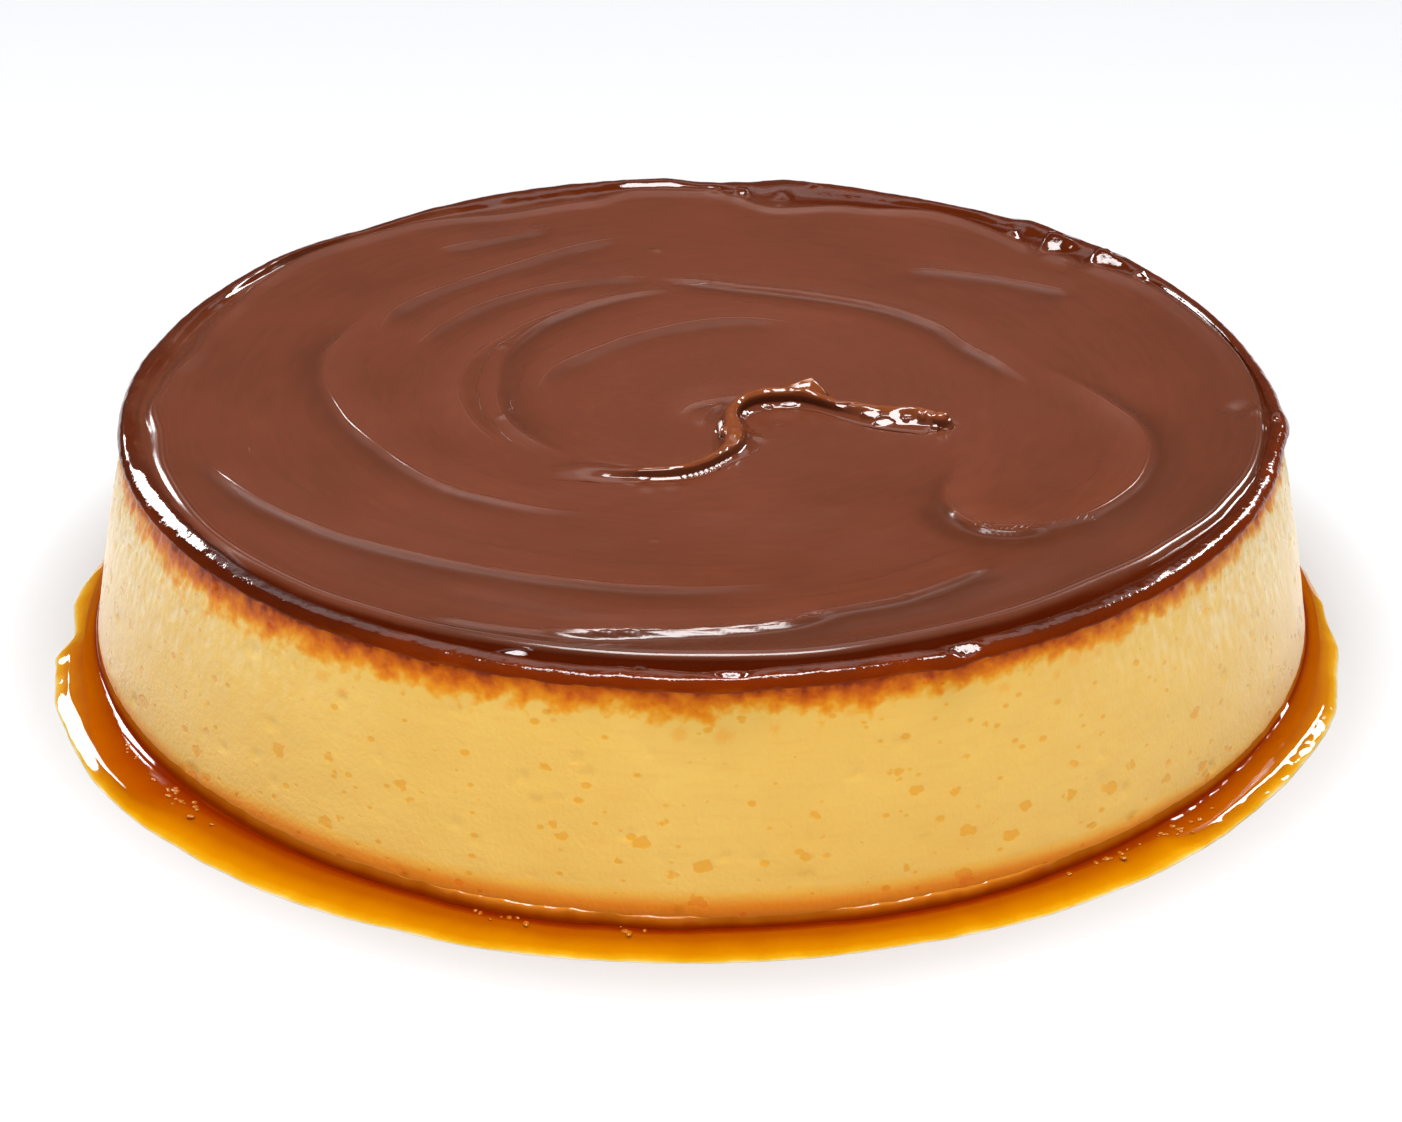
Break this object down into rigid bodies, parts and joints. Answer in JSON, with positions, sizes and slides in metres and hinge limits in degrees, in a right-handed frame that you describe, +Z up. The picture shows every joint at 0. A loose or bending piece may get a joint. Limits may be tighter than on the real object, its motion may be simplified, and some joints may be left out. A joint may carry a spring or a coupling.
{
  "type": "leche flan",
  "caption": "Round baked custard turned out of its pan, with a swirled brown caramel glaze on top and a shallow syrup pool round its foot.",
  "frame": {"origin": "on the surface it stands on, under the middle of the custard", "axes": "+Z up, -Y towards the front, where the curl of the glaze is steep"},
  "size_m": [0.2397, 0.2414, 0.0482],
  "materials": {
    "custard": "moist satin egg custard with small open pores, stained amber below the glaze",
    "caramel_glaze": "smooth milky caramel spread, satin on the field and wet at the rim and the curl",
    "syrup": "clear amber sugar syrup, wet gloss"
  },
  "bodies": {
    "root": {"custard": "custard", "caramel_glaze": "caramel_glaze", "syrup": "syrup"}
  },
  "joints": []
}
